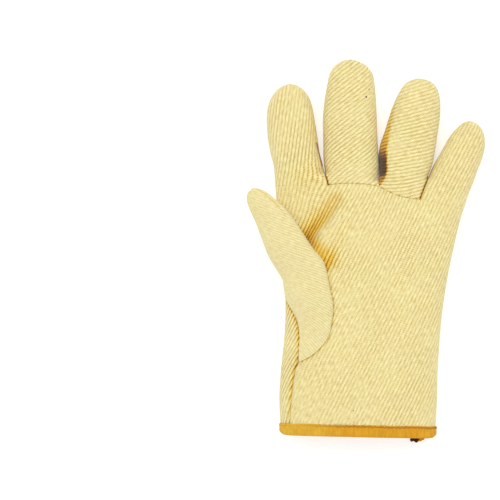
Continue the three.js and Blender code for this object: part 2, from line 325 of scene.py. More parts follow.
def rest_on(z, lift):
    """Keeps a height over the table's, with a round turn where the cloth begins to lie on it."""
    return lift + 0.5 * (z - lift + np.sqrt((z - lift) ** 2 + 1.4))


def left_turn(name, y, left, right):
    """Angle of the seam on a strip's left side. On the cuff it lies on the palm's side, where the
    back is turned up, and is negative."""
    if name != "index":
        return inner_turn(y, CROTCH_Y[name][0])
    line_x = through(TURNED_UP[:, 0], TURNED_UP[:, 1:], y)[..., 0]
    share = np.clip((line_x - left) / (right - left), 0, 1)
    folded = -2 * np.degrees(np.arccos(1 - share))
    return np.where(y < TURNED_UP_END, folded, outer_turn(y) * ease((y - TURNED_UP_END) / 14))


def right_turn(name, y):
    """Angle of the seam on a strip's right side."""
    if name == "little":
        return outer_turn(y)
    return inner_turn(y, CROTCH_Y[name][1])


def seam_bow(name, share, y):
    """How far a row bows up or down, by its share of the width: a parabola, four times share times
    the rest. It is whole beside the base seam and fades out above and below."""
    return SEAM_SWAY[name] * 4 * share * (1 - share) * falloff(y - STRIPS[name][0][1] + 2, 16)


def sheet(name, part, left, right, low, high, lanes, back):
    """Points of a strip, and the same without waves and hollows. Each row runs from its left to its
    right seam by angle: 180 is the left edge, 90 the middle of the palm's side, 0 the right edge, 270
    the middle of the back. Plan: the edges' chord, divided by the angle. Height: finger's oval mixed
    with the hand's."""
    turn_l = left_turn(name, left[:, 1], left[:, 0], right[:, 0])[:, None]
    turn_r = right_turn(name, right[:, 1])[:, None]
    if back:
        angle = 180 + turn_l + (180 - turn_l - turn_r) * lanes
    else:
        angle = 180 + turn_l - (180 + turn_l + turn_r) * lanes
    below = angle > 179.9999 if back else (angle > 180.0001) | (angle < -0.0001)
    zeta = np.abs(np.mod(angle, 360) - 180)
    even = {"index": 1 - np.cos(np.radians(zeta / 2)), "little": np.sin(np.radians(zeta / 2))}
    finger_share, rise = oval(zeta)
    mean_y = ((left[:, 1] + right[:, 1]) / 2)[:, None]
    share = even.get(name, zeta / 180)
    share = share + (finger_share - share) * to_finger(mean_y)
    x = left[:, :1] + (right[:, :1] - left[:, :1]) * share
    y = left[:, 1:] + (right[:, 1:] - left[:, 1:]) * share
    y = y + seam_bow(name, share, mean_y)
    level = low + (high - low) * FINGER_MID
    closed = np.where(zeta < 90, web(y, CROTCH_Y[name][0]), web(y, CROTCH_Y[name][1]))
    rise = rise + closed * (1 - rise)
    finger = np.where(below, level - (level - low) * rise, level + (high - level) * rise)
    mix = to_hand(x, y)
    smooth = hand_height(x, y, below, plain=True)
    if part == "finger":
        smooth = smooth * (1 - mix) + finger * mix
    waves = np.where(below, 0, 0.5 * slack(x, y) * rise)
    z = hand_height(x, y, below) * (1 - mix) + (finger + waves) * mix
    tape_end = HEM_Y + 12
    lift = TAPE_LIFT * (1 - ease((y - tape_end) / (TAPE_LIFT_END - tape_end)))
    return np.stack([x, y, rest_on(z, lift)], -1), np.stack([x, y, smooth], -1)


# %% [markdown]
# Rows and lanes
# The grid needs small faces only where the cloth turns sharply, which is at its seams. So rows and
# lanes stand evenly, and a few more are set close together beside each seam.

# %% Rows and lanes
EDGE_STEPS = np.array([0.4, 0.9, 1.7])  # millimetres from a seam to the close rows
HAND_LENGTH, STRIP_WIDTH = 195, 58  # typical sizes of a strip in the hand
HAND_STEPS = 146
HEM_INSET = 0.8  # how far inside the folded tape the cloth's edge ends


def lanes_for(width, count):
    """Places across a strip from 0 to 1: even ones, with close ones beside both seams."""
    close = EDGE_STEPS / width
    even = np.linspace(close[-1] * 1.7, 1 - close[-1] * 1.7, count)
    return np.concatenate([[0], close, even, 1 - close[::-1], [1]])


LANES = {name: lanes_for(STRIP_WIDTH, count) for name, count in zip(STRIPS, (46, 42, 40, 40))}


def hand_rows(k):
    """Left and right edge of strip k from the hem to the base seam, with levels. The outermost edges
    follow the hand's outline, and the inner ones are straight."""
    names = list(STRIPS)
    tops = [STRIPS[n][0][0:2] for n in names] + [STRIPS["little"][0][2:4]]
    steps = np.linspace(0, 1, HAND_STEPS)[:-2]
    share = np.concatenate([steps, 1 - EDGE_STEPS[::-1] / HAND_LENGTH, [1]])
    edges = []
    for j in (k, k + 1):
        outermost = j in (0, len(names))
        hem_y = HEM_Y + HEM_INSET + HEM_SLOPE * (HEM_CUTS[j] - HEM_X) + HEM_ROUND * outermost
        y = hem_y + (tops[j][1] - hem_y) * share
        x = HEM_CUTS[j] + (tops[j][0] - HEM_CUTS[j]) * share
        if outermost:
            x = through(BODY[:, 0], BODY[:, 1:3], y)[:, 0 if j == 0 else 1]
        edges.append(np.stack([x, y], -1))
    level = np.ones((len(share), 1))
    return edges[0], edges[1], -FLOOR_SINK * level, KNUCKLE_TOP * level


def finger_rows(name):
    """The same from the base seam to the fingertip. Rows stand evenly along the outline, so that they
    crowd towards the tip as the outline turns."""
    table = np.array(STRIPS[name], float)
    step = np.hypot(np.diff(table[:, [0, 2]], axis=0), np.diff(table[:, [1, 3]], axis=0)).mean(1)
    stations = np.insert(np.cumsum(step), 0, 0)
    length = stations[-1]
    even = np.linspace(EDGE_STEPS[-1] * 1.7, length, int(length / CLOTH_STEP))
    level_tip = np.array([1.2, 0.1, 1.2, 0.1, 1.6, 1.6])  # the outline meets itself level at the tip
    values = through(stations, table, np.concatenate([[0], EDGE_STEPS, even]), level_tip)
    return values[:, 0:2], values[:, 2:4], values[:, 4:5], values[:, 5:6]


for k, name in enumerate(STRIPS):
    rows = len(hand_rows(k)[0]), len(finger_rows(name)[0])
    print(f"{name}: {len(LANES[name])} lanes, {rows[0]} rows in the hand, {rows[1]} in the finger")

# %% [markdown]
# Seams pull the cloth in
# Sewing turns the edges of two pieces inwards, so each seam lies in a small valley with rounded lips.
# The cloth is pulled in along its own normal, most at the seam and no more a few millimetres away,
# and a little unevenly, as the stitches gather it.

# %% Seam valleys and cloth coordinates
def seam_curve(name):
    """The base seam across a strip: the chord between its two lowest points, bowed."""
    x0, y0, x1, y1 = STRIPS[name][0][:4]
    share = np.linspace(0, 1, 9)
    bow = seam_bow(name, share, (y0 + y1) / 2)
    return list(zip(x0 + (x1 - x0) * share, y0 + (y1 - y0) * share + bow))


BASE_SEAM = seam_curve("middle") + seam_curve("ring")[1:]
BASE_SEAM = [(-31.9, 60.4), (-30.6, 55), *BASE_SEAM, (45.2, 48.6), (48, 56)]
SPLIT_SEAM = [(10.2, 49.5), (10.1, 55)]
LIP_DEPTH, LIP_REACH = 1.5, 1.5  # of a seam's valley
STITCH_DEPTH, STITCH_REACH = 0.6, 0.35  # of the sharper line in its middle


def lip(distance, place):
    """Depth of a seam's valley at a distance from the seam, a little uneven as stitches gather it."""
    gather = 1 + 0.14 * np.sin(place * 2.1) + 0.1 * np.sin(place * 0.83 + 1)
    valley = LIP_DEPTH * gather * np.exp(-((distance / LIP_REACH) ** 1.4))
    return valley + STITCH_DEPTH * falloff(distance, STITCH_REACH)


def normals_of(points):
    """Unit normals of a grid of points, from the steps along rows and lanes."""
    along, across = np.gradient(points, axis=0), np.gradient(points, axis=1)
    normal = np.cross(across, along)
    size = np.linalg.norm(normal, axis=-1, keepdims=True)
    return normal / np.maximum(size, 1e-9)


print("valley at the seam:", lip(np.zeros(1), np.zeros(1)).round(2), "mm")

# %% [markdown]
# Ribs follow the cut
# The twill's ribs run at a fixed angle in the flat cloth. Each piece is cut at its own angle, which is
# why the ribs of the middle finger lie flatter than those of the palm. A UV map holds, in metres,
# the way across the ribs and the way along them, measured on the surface, so one material serves
# every piece.

# %% UV map and mesh building
WELD = 50  # points are welded when they agree to a fiftieth of a millimetre


def rib_map(flat, degrees):
    """Turns flat places (x, y) into lengths across and along ribs that stand at that angle, or at one
    angle for each row. The rows' middle points are summed up step by step, and the rest of each row
    is laid off from its middle, so that ribs may turn slowly along a piece."""
    a = np.radians(np.broadcast_to(degrees, len(flat)))[:, None]
    centre = flat.shape[1] // 2
    middle = flat[:, centre : centre + 1]
    step = np.diff(middle, axis=0, prepend=0 * middle[:1])

    def turned(p):
        """Lengths across and along the ribs."""
        x, y = p[..., 0], p[..., 1]
        return np.stack([y * np.cos(a) - x * np.sin(a), x * np.cos(a) + y * np.sin(a)], -1)

    return np.cumsum(turned(step), axis=0) + turned(flat - middle)


def row_ways(plain):
    """Unit direction of each row in plan, from its first to its last point. The tip's row, which has
    no length, takes its neighbour's."""
    way = plain[:, -1, :2] - plain[:, 0, :2]
    way[[0, -1]] = way[[1, -2]]
    return way / np.linalg.norm(way, axis=1, keepdims=True)


def laid_flat(plain):
    """Flat places of a tube's rows: each row's middle point stays, and the lengths to both sides are
    laid out straight along the row."""
    centre = plain.shape[1] // 2
    s, way = lengths(plain), row_ways(plain)
    return plain[:, centre, None, :2] + (s - s[:, centre : centre + 1])[..., None] * way[:, None]


def add_object(name, data):
    """An object that shows a mesh, a lamp or a camera, in the scene."""
    made = bpy.data.objects.new(name, data)
    bpy.context.scene.collection.objects.link(made)
    return made


def make_piece(name, patches):
    """A mesh from several grids of points in millimetres, each with its own UV grid. Points that two
    grids share are welded. Each grid also carries the shade painted into its colour, from 0 to 1 (on
    the hem tape also a tint), and how clearly its ribs stand out, which is 1 on unworn cloth."""
    columns, faces, start = [], [], 0
    for grid, uv, *values in patches:
        rows, lanes = grid.shape[:2]
        a = (np.arange(rows - 1)[:, None] * lanes + np.arange(lanes - 1)).ravel() + start
        faces.append(np.stack([a, a + 1, a + lanes + 1, a + lanes], -1))
        spread = [np.broadcast_to(value, (rows, lanes))[..., None] for value in values]
        columns.append(np.concatenate([grid, uv, *spread], -1).reshape(rows * lanes, -1))
        start += rows * lanes
    columns, faces = np.concatenate(columns), np.concatenate(faces)
    points, uvs = columns[:, 0:3], columns[:, 3:5]
    key = np.round(points * WELD).astype(np.int64)
    _, first, back = np.unique(key, axis=0, return_index=True, return_inverse=True)
    welded = back.ravel()[faces]
    real = (welded != np.roll(welded, -1, axis=1)).sum(1) >= 3
    quads, corners = welded[real], faces[real]
    mesh = bpy.data.meshes.new(name)
    where = points[first] + np.array([0, MIDDLE_Y, 0])
    loops, kept = [], []
    for quad, corner in zip(quads.tolist(), corners.tolist()):
        ring = [(v, c) for v, c, n in zip(quad, corner, quad[1:] + quad[:1]) if v != n]
        loops.append([v for v, _ in ring])
        kept.extend(c for _, c in ring)
    mesh.from_pydata((where * MM).tolist(), [], loops)
    layer = mesh.uv_layers.new(name="Cloth")
    layer.data.foreach_set("uv", (uvs[np.array(kept)] * MM).astype(np.float32).ravel())
    # the first attribute holds the shade painted into the colour, on the hem tape also a tint
    for kind, values in (("painted_shade_and_tint", columns[:, 5]), ("ribs", columns[:, 6])):
        layer = mesh.attributes.new(kind, "FLOAT", "POINT")
        layer.data.foreach_set("value", values[first].astype(np.float32))
    mesh.polygons.foreach_set("use_smooth", np.ones(len(mesh.polygons), bool))
    mesh.update()
    return add_object(name, mesh)


def give_wall(piece, thickness=2.8):
    """Gives the sheet its wall, inwards from the face that shows."""
    wall = piece.modifiers.new("Wall", "SOLIDIFY")
    wall.thickness, wall.offset = thickness * MM, -1


# %% [markdown]
# Fronts and back
# Now the strips are laid out. The palm keeps its index and little finger, because they are cut in one
# piece with it, while the middle and the ring finger start at the base seam as pieces of their own.
# The back is a single piece with all four finger backs.

# %% Lay out the strips
LEAF_POINTS = [
    (-52, -87.2), (-44.6, -83.4), (-36.2, -76.7), (-29.4, -67.5), (-26.5, -54), (-25.7, -42),
    (-28.6, -27.5), (-33.1, -9.2), (-41.6, 1.6), (-49.1, 13.2),
]
LEAF_SEAM = through(np.arange(10), LEAF_POINTS, np.linspace(0, 9, 46))  # of the thumb, on the palm
PALM_LEVEL = 18  # the palm's side lies above this level

# Painted shadow on the ring finger's side that faces the middle finger and lies in its shadow
WALL_EDGE = [  # y, x where the shadow ends
    (46, 9.0), (49.7, 11.2), (52.6, 13.6), (57.1, 15.8), (62.3, 17.2), (70, 16.9), (79, 16.6),
    (99, 20.2), (110, 23.2),
]
WALL_PAINTED_SHADE = [  # y, how deep the shadow is
    (40, 0.3), (47, 0.5), (52, 0.6), (56, 0.7), (59, 0.97), (71, 0.97), (75.5, 0.84), (80, 0.62),
    (88, 0.48), (98, 0.38), (109, 0.2), (117, 0),
]
# Lines along which shade is painted in the palm's hollow; the upper crease also gathers the ribs
THUMB_EDGE = [(-57, 24), (-48, 12), (-40, 3), (-31.5, -9)]
UPPER_CREASE = [(-46, 8), (-36, 21), (-24, 39)]
LOWER_CREASE = [(-31, -13), (-24, 2), (-17, 15)]
# painted shade lies deep between the fingers along these lines
CROTCH_LINES = [[(-29.3, 50), (-37, 82)], [(10.3, 48.5), (9.4, 80)], [(41.9, 39), (56, 66)]]
# painted shadow is drawn along these lines
PAINTED_SHADOW_LINES = [  # where one finger's side stands in the shadow of the next
    [(-38.5, 83.5), (-36.4, 75.5), (-34.0, 66.0)],
    [(-32.6, 66), (-31.5, 58), (-29.25, 50.7)],
    [(41.9, 39.6), (45.2, 48.6), (49.2, 58.4), (52.6, 66)],
]


def strip_points(name, k, part, back):
    """A strip's grid, in the hand or in the finger, with its plain form. It is pulled in at the side
    seams along its normal, and pressed down at the seams that lie on the palm."""
    left, right, low, high = hand_rows(k) if part == "hand" else finger_rows(name)
    grid, plain = sheet(name, part, left, right, low, high, LANES[name], back)
    s = lengths(grid)
    x, y = grid[..., 0], grid[..., 1]
    depth = np.zeros(x.shape)
    tip = ease(s[:, -1:] / 16)
    for side, edge, way in ((0, left, s), (1, right, s[:, -1:] - s)):
        if part == "finger" or k == 3 * side:
            apart = ease((edge[:, 1:] - CROTCH_Y[name][side]) / 4)
            depth = np.maximum(depth, lip(way, y) * apart * tip * 0.8)
    out = normals_of(grid) * (1 if not back else -1)
    if back and part == "hand" and k == 0:
        depth = depth + 1.3 * np.exp(-s / 5) * (y < TURNED_UP_END) * (grid[..., 2] > TURNED_UP_LEVEL)
    shaped = grid - out * depth[..., None]
    if not back:
        seams = np.minimum(line_distance(x, y, BASE_SEAM), line_distance(x, y, SPLIT_SEAM))
        pressed = np.maximum(0.5 * lip(seams, x + y), 0.65 * lip(line_distance(x, y, LEAF_SEAM), y))
        shaped[..., 2] -= pressed * ease((grid[..., 2] - 14) / 5)
    return shaped, plain


def side_blend(x, y, line, soft, hard):
    """1 on a line, fading over the soft width on its left and the hard width on its right."""
    off = x - read(np.flip(line, axis=1), y)
    ends = ease((y - line[0][1] + 9) / 9) * ease((line[-1][1] + 14 - y) / 16)
    return falloff(off, np.where(off < 0, soft, hard)) * ends


def on_strip(y, z):
    """Whether a point of the back is on the strip that is turned up beside the cuff."""
    return (y < TURNED_UP_END - 0.5) & (z > TURNED_UP_LEVEL)


def painted_shade_of(grid, name, part, back):
    """How much shade is painted into the colour at a point: between two fingers, in the palm's hollow,
    along seams and creases and on side walls in a neighbour's shadow. There the cloth is painted
    darker and warmer, as light that reaches it has met yellow cloth before. Each seam, crease and
    corner has its own painted shade, and the deepest one counts."""
    x, y, z = np.moveaxis(grid, -1, 0)
    upper = side_blend(x, y, UPPER_CREASE, 12, 3.6 + 4 * ease((y - 16) / 18))
    lower = side_blend(x, y, LOWER_CREASE, 5, 3.6)
    fan = falloff(line_distance(x, y, THUMB_EDGE), 9.5) * ease((y + 20) / 11) * ease((22 - y) / 10)
    # painted shade in the palm's hollow: along both creases, in a fan along the thumb, in the corner
    on_palm = [
        upper * (0.2 + 0.35 * ease((38 - y) / 30)),
        lower * (0.07 + 0.4 * ease((7 - y) / 17)),
        0.44 * fan * (1 - 0.6 * bell(x, y, (-31, 12, 5.5, 7))),  # along the thumb, less on the bump
        0.6 * bell(x, y, (-44, 11, 3.4, 6.5)),  # the corner where the upper crease starts
    ]
    painted_shades = [np.max(on_palm, axis=0) * (z > PALM_LEVEL)]
    # painted shade between the fingers, on their side walls
    for line in CROTCH_LINES:
        deep = (1 - ease((z - 9) / 7)) * ease((z - 1) / 4)
        painted_shades.append(0.7 * falloff(line_distance(x, y, line), 3.6) * deep)
    if not back:
        # painted shadow on sides in a neighbour's shadow; painted shade on the leaf seam and index
        # finger
        painted_shades += [0.95 * falloff(line_distance(x, y, line), 0.72) for line in PAINTED_SHADOW_LINES]
        painted_shades.append(0.42 * falloff(line_distance(x, y, LEAF_SEAM), 0.6) * ease((-10 - y) / 16))
        painted_shades.append(0.09 * bell(x, y, (-44, 58, 12, 16)))  # the index finger's root
        painted_shades.append(0.1 * bell(x, y, (-40, 97, 5, 15)) * (name == "index"))  # and its right side
    # painted shadow on the ring finger's side that faces the middle finger
    if part == "finger" and name == "ring" and not back:
        wall = read(WALL_PAINTED_SHADE, y)
        off = read(WALL_EDGE, y) - x
        painted_shades.append(wall * ease((off + 0.3) / 1.5))
    # painted shade along the base seam's valley, uneven along it
    if part == "finger" and not back:
        uneven = 0.3 + 0.12 * np.sin(2 * x)
        painted_shades.append(uneven * falloff(line_distance(x, y, BASE_SEAM), 0.45))
    # painted shadow on the turned-up strip beside the palm's raised edge, faint painted shade on the
    # rest
    if name == "index" and part == "hand" and back:
        strip = read(TURNED_UP, y)
        edge = 0.5 * np.exp(-((strip - x) / 1.1)) * (0.45 + 0.55 * ease((y + 122) / 26))
        painted_shades.append((0.01 + edge) * (x < strip + 0.3) * on_strip(y, z))
    return np.clip(np.max(painted_shades, axis=0), 0, 1)


RIBS_OF = {"index": 1.05, "middle": 1.05, "ring": 1.0, "little": 0.68}
TOPS = {name: rows[-1][1] for name, rows in STRIPS.items()}  # y of each fingertip


def ribs_of(grid, name, painted_shade_and_tint, back):
    """How clearly the ribs stand out: little on the worn palm, more on the fingers up to where their
    tips are worn, most in the creases and on the turned-up strip, and hardly at all on the bump
    beside the thumb."""
    x, y, z = np.moveaxis(grid, -1, 0)
    if back:
        return np.where((name == "index") & on_strip(y, z), 1.25, 0.9)
    hand = 0.67 + 0.13 * ease((x - 5) / 35) - 0.08 * ease((-70 - y) / 50)
    hand = hand * (1 - 0.5 * bell(x, y, (-46, -118, 10, 34)))  # rubbed smooth beside the cuff's edge
    clear = hand + (RIBS_OF[name] - hand) * to_hand(x, y) * (1 - ease((y - TOPS[name] + 70) / 90))
    # where shade is painted, the ribs' grooves are drawn darker too
    clear = clear + 1.1 * painted_shade_and_tint * (1 - to_hand(x, y))
    clear = clear * (1 - 0.85 * bell(x, y, (-32.5, 10, 6.5, 7.5)))  # the bump, and the cloth below it
    return clear * (1 - 0.7 * bell(x, y, (-37, -2, 6, 8)))


def build_sheet(back):
    """All eight grids of the front or the back with their plain forms, by strip and part."""
    return {
        (name, part): strip_points(name, k, part, back)
        for k, name in enumerate(STRIPS)
        for part in ("hand", "finger")
    }


front = build_sheet(back=False)
rear = build_sheet(back=True)
print("points in the front:", sum(g.shape[0] * g.shape[1] for g, _ in front.values()))

# %% [markdown]
# From strips to pieces
# The ribs must run on from strip to strip inside a piece, and change their angle where a piece ends.
# One flat map of the whole hand does the first, and a map of its own for each finger the second.
# Where the palm is gathered beside the thumb, the map is pushed aside so that its ribs crowd together.

# %% Cloth coordinates over the whole sheet
def index_lean(x, y):
    """Shift of the ribs that makes them stand steeper towards the index finger."""
    up = np.maximum(y - 26, 0)
    return -0.315 * ease((-24 - x) / 26) * up**2 / (up + 14)


def gathered(x, y):
    """Shift that crowds the ribs together in the crease beside the thumb: they fan out above it."""
    off = x - read(np.flip(UPPER_CREASE, axis=1), y)
    return -2.2 * np.tanh(off / 6) * falloff(off, 24) * ease((46 - y) / 34) * ease((y + 22) / 26)


def cloth_maps(parts, angle, sewn=()):
    """UV grids of all parts. In the hand the lengths run on from strip to strip, on both sides of the
    edge between the two middle strips. A finger has its own rib angle: unless it is sewn on, its map
    starts as the hand's ends and eases into its own."""
    maps = {}
    width = {name: lengths(parts[name, "hand"][1])[:, -1] for name in STRIPS}
    middle_x = parts["ring", "hand"][1][:, 0, 0]
    start = {
        "index": middle_x - width["middle"] - width["index"],
        "middle": middle_x - width["middle"],
        "ring": middle_x,
        "little": middle_x + width["ring"],
    }
    for name in STRIPS:
        plain = parts[name, "hand"][1]
        flat = np.stack([start[name][:, None] + lengths(plain), plain[..., 1]], -1)
        uv = rib_map(flat, angle["hand"])
        if sewn:
            x, y = plain[..., 0], plain[..., 1]
            uv[..., 0] += index_lean(x, y) + gathered(x, y)
        maps[name, "hand"] = uv
        plain = parts[name, "finger"][1]
        flat = laid_flat(plain)
        centre = plain.shape[1] // 2
        t = np.linalg.norm(flat[:, centre] - flat[0, centre], axis=-1)
        own = rib_map(flat - flat[0, centre], angle[name][0] + angle[name][1] * t)
        step = uv[-1] - own[0]
        fade = (1 - ease(t / 28))[:, None, None] * (name not in sewn)
        maps[name, "finger"] = own + step * fade + step[centre] * (1 - fade)
    return maps


def piece_patches(parts, maps, wanted, back=False):
    """Patches of the wanted parts, ready for make_piece."""
    made = []
    for key in wanted:
        grid = parts[key][0]
        # the shade painted into each point's colour
        painted_shade_and_tint = painted_shade_of(grid, *key, back)
        made.append((grid, maps[key], painted_shade_and_tint, ribs_of(grid, key[0], painted_shade_and_tint, back)))
    return made


RIB_ANGLE = {"hand": 63, "index": (82, 0), "middle": (37, 0), "ring": (6.5, 0.13), "little": (62, 0)}
BACK_ANGLE = {"hand": 113, "index": (128, 0), "middle": (122, 0), "ring": (112, 0), "little": (110, 0)}
front_maps = cloth_maps(front, RIB_ANGLE, sewn=("middle", "ring"))
rear_maps = cloth_maps(rear, BACK_ANGLE)
palm_parts = [(name, "hand") for name in STRIPS] + [("index", "finger"), ("little", "finger")]
palm = make_piece("palm_cloth", piece_patches(front, front_maps, palm_parts))
middle_front, ring_front = (
    make_piece(f"{name}_finger_cloth", piece_patches(front, front_maps, [(name, "finger")]))
    for name in ("middle", "ring")
)


def flipped(patches):
    """The same grids with their lanes in reverse, so that their faces point down."""
    return [tuple(values[:, ::-1] for values in patch) for patch in patches]


back_cloth = make_piece("back_cloth", flipped(piece_patches(rear, rear_maps, list(rear), back=True)))
for piece, node in (
    (palm, "palm_panel"),
    (middle_front, "middle_finger_front"),
    (ring_front, "ring_finger_front"),
    (back_cloth, "back_panel"),
):
    give_wall(piece)
    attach(piece, "root")
    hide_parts(node)
    print(piece.name, len(piece.data.polygons), "faces")

# %% [markdown]
# The thumb
# The thumb is one piece of cloth, folded round and sewn up along its inner edge, and its lower end is
# a leaf that fills a hole in the palm. It is a tube again, but its sections stand in space: each has
# its own left and right edge, and rises more than it drops. On the leaf the edges lie on the palm.

# %% Thumb
THUMB = np.array(
    [  # left x, y, z, right x, y, z, rise, drop
        [-52.2, -87.2, 32.5, -52.2, -87.2, 32.5, 0.8, 4],
        [-52.6, -82.6, 32, -44.6, -83.4, 35, 1.6, 5],
        [-52.4, -75, 31.2, -36.2, -76.7, 36, 2.6, 6],
        [-52, -66, 30.3, -29.4, -67.5, 36.2, 3.4, 8],
        [-54.5, -53, 28.5, -26.5, -54, 36.2, 4.8, 9],
        [-61.8, -40, 23, -25.7, -42, 36, 6.5, 9],
        [-63.4, -33, 23, -28.6, -27.5, 35.2, 8, 9],
        [-64.8, -24, 24, -33.1, -9.2, 34.6, 9, 10],
        [-69.6, -15.6, 24.5, -41.6, 1.6, 34.5, 9.5, 10],
        [-75.4, -6.2, 25, -49.1, 13.0, 34.2, 9.5, 9.5],
        [-82.0, 10.4, 25.5, -58.0, 26.2, 33.6, 9, 8.6],
        [-86.2, 21.8, 25.5, -64.2, 33.6, 32.8, 8.4, 8],
        [-90.9, 32, 25.5, -71.8, 40.4, 31, 7.4, 7],
        [-93.0, 39.4, 26, -78.4, 45.6, 29.8, 5.4, 5],
        [-92.2, 44.6, 26.8, -83.8, 47.8, 28.6, 3, 3],
        [-88.4, 48.2, 27.6, -88.4, 48.2, 27.6, 0.1, 0.1],
    ]
)
THUMB_RIBS = [  # y, degrees
    (-87, -50), (-66, -46), (-48, -34), (-32, -21), (-8, -18), (20, -19), (48, -20),
]
LEAF_END_Y = -20  # up to here the thumb's edges lie on the palm
FREE_Y = -30  # from here up the thumb has a lower side, and before it the palm is there
THUMB_SEAM = 0.9  # share of the width at which the thumb's own seam runs
THUMB_STEPS, THUMB_WIDTH, THUMB_LANES = 130, 44, 34


def thumb_grid(lower):
    """The thumb's upper or lower side with its lanes and rows. Each row runs from its left to its
    right edge, and rises or drops between them as the oval does."""
    stations = (lengths(THUMB[:, 0:2], axis=0) + lengths(THUMB[:, 3:5], axis=0)) / 2
    rows = through(stations, THUMB, np.linspace(0, stations[-1], THUMB_STEPS))
    left, right = rows[:, None, 0:3], rows[:, None, 3:6]
    seam_lane = 1 - np.degrees(np.arccos(2 * THUMB_SEAM - 1)) / 180
    beside_seam = seam_lane + np.array([-0.022, -0.012, -0.005, 0, 0.005, 0.012, 0.022])
    lanes = np.sort(np.concatenate([lanes_for(THUMB_WIDTH, THUMB_LANES), beside_seam]))
    share, rise = oval(lanes[None] * 180)
    grid = left + (right - left) * share[..., None]
    on_palm = hand_height(grid[..., 0], grid[..., 1], False) - 0.6
    mix = ease((LEAF_END_Y - grid[..., 1]) / 18) * (grid[..., 0] >= -61)
    edge = grid[..., 2] + (on_palm - grid[..., 2]) * mix
    grid[..., 2] = edge + (-rows[:, None, 7] if lower else rows[:, None, 6]) * rise
    return grid, lanes, rows


upper, thumb_lanes, thumb_rows = thumb_grid(False)
lower, _, _ = thumb_grid(True)
inward = oval(thumb_lanes * 180)[0]  # share of the width, from the outer edge
width = np.linalg.norm(thumb_rows[:, 3:6] - thumb_rows[:, 0:3], axis=1)[:, None]
from_seam = np.abs(inward - THUMB_SEAM) * width
seam_depth = 0.8 * falloff(from_seam, 0.8) * ease((upper[:, :1, 1] + 6) / 24) * ease(width / 9)
flat_upper = laid_flat(upper)
flat_lower = flat_upper[:, -1:] + lengths(lower[:, ::-1])[..., None] * row_ways(upper)[:, None]
rib_angle = read(THUMB_RIBS, upper[:, upper.shape[1] // 2, 1])
both_uv = rib_map(np.concatenate([flat_upper, flat_lower[:, 1:]], axis=1)[:, :-1], rib_angle)
thumb_uv = both_uv[:, : upper.shape[1]]
last_lane = 2 * both_uv[:, -1:] - both_uv[:, -2:-1]
lower_uv = np.concatenate([both_uv[:, upper.shape[1] - 1 :], last_lane], axis=1)
upper = upper - normals_of(upper) * seam_depth[..., None]
# painted shade in the valley of the thumb's seam, towards its tip
thumb_painted_shade = 0.4 * falloff(from_seam, 0.4) * ease((upper[:, :1, 1] - 14) / 14) * ease(width / 9)
thumb_ribs = 0.34 + 0.64 * ease((inward - 0.12) / 0.4) * (1 - 0.7 * ease((upper[..., 1] - 16) / 24))
free_row = int(np.argmax(thumb_rows[:, 4] > FREE_Y))
lower_patch = (lower[free_row:, ::-1], lower_uv[free_row:], 0.0, 0.6)
thumb = make_piece("thumb_cloth", [(upper, thumb_uv, thumb_painted_shade, thumb_ribs), lower_patch])
give_wall(thumb, thickness=2.0)
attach(thumb, "root")
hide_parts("thumb")
print("thumb:", len(thumb.data.polygons), "faces")

# %% [markdown]
# Tape on the hem
# A woven tape is folded over the raw edge and sewn down. Its section is a hook: up the outside, round
# the edge and up the inside. That profile is carried round the hem's oval.

# %% Hem tape
TAPE_STEPS = 520  # points round the hem
LEAST_Z = 0.02  # keeps the tape off the table
TAIL_X, TAIL_Y, TAIL_LENGTH = 34.8, -148.3, 11.2  # where the loose end starts, and its length
TAPE_PROFILE = np.array(
    [  # out from the cloth's face, along the glove from its edge
        [0.2, 8.6], [0.7, 8.8], [1.1, 8.3], [1.25, 6], [1.3, 3], [1.3, 1.2], [1.0, 0.1], [0.2, -0.5],
        [-1.4, -0.7], [-3.2, -0.5], [-4.0, 0.1], [-4.3, 1.2], [-4.3, 3], [-4.2, 6], [-4.0, 7.6],
        [-3.4, 7.9], [-3.05, 7.4], [-3.0, 4], [-2.9, 0.7], [-1.4, 0.4], [-0.1, 0.7], [0.05, 4],
    ]
)


def hem_ring(angle):
    """Points round the hem's cut edge with outward normals in the section's plane."""
    left, right, top = through(BODY[:, 0], BODY[:, 1:], np.array(HEM_Y))
    mid = top * BODY_MID
    x = (left + right) / 2 + (right - left) / 2 * bend(np.cos(angle))
    rise = bend(np.sin(angle))
    z = mid + np.where(rise > 0, top - mid, mid + FLOOR_SINK) * rise
    ring = np.stack([x, rest_on(z, TAPE_LIFT)], -1)
    along = np.roll(ring, -1, axis=0) - np.roll(ring, 1, axis=0)
    out = np.stack([along[:, 1], -along[:, 0]], -1)
    return ring, out / np.linalg.norm(out, axis=1, keepdims=True)


turn = np.linspace(0, 2 * np.pi, TAPE_STEPS, endpoint=False)[:, None]
ring, out = hem_ring(turn[:, 0])
off_cloth, up_glove = TAPE_PROFILE.T
sway = 0.15 * np.sin(turn * 9 + 0.5) + 0.16 * np.sin(turn * 87)
fold = HEM_ROUND * np.abs(np.cos(turn)) ** 40  # lifts the tape's edge at the two sides
tape_x = ring[:, :1] + out[:, :1] * off_cloth
tape_z = np.maximum(ring[:, 1:] + out[:, 1:] * off_cloth, LEAST_Z)
tape_y = HEM_Y + HEM_SLOPE * (ring[:, :1] - HEM_X) + up_glove
tape_y = tape_y + sway * (up_glove > 5) + fold * (1 - ease(up_glove / 5))
tape_grid = np.pad(np.stack([tape_x, tape_y, tape_z], -1), ((0, 1), (0, 1), (0, 0)), mode="wrap")
round_way = np.broadcast_to(lengths(tape_grid[:, :1], axis=0), tape_grid.shape[:2])
tape_uv = np.stack([round_way, lengths(tape_grid[:1]).repeat(len(tape_grid), 0)], -1)
tape_tone = 0.27 * ease((tape_grid[..., 0] + 62) / 55)

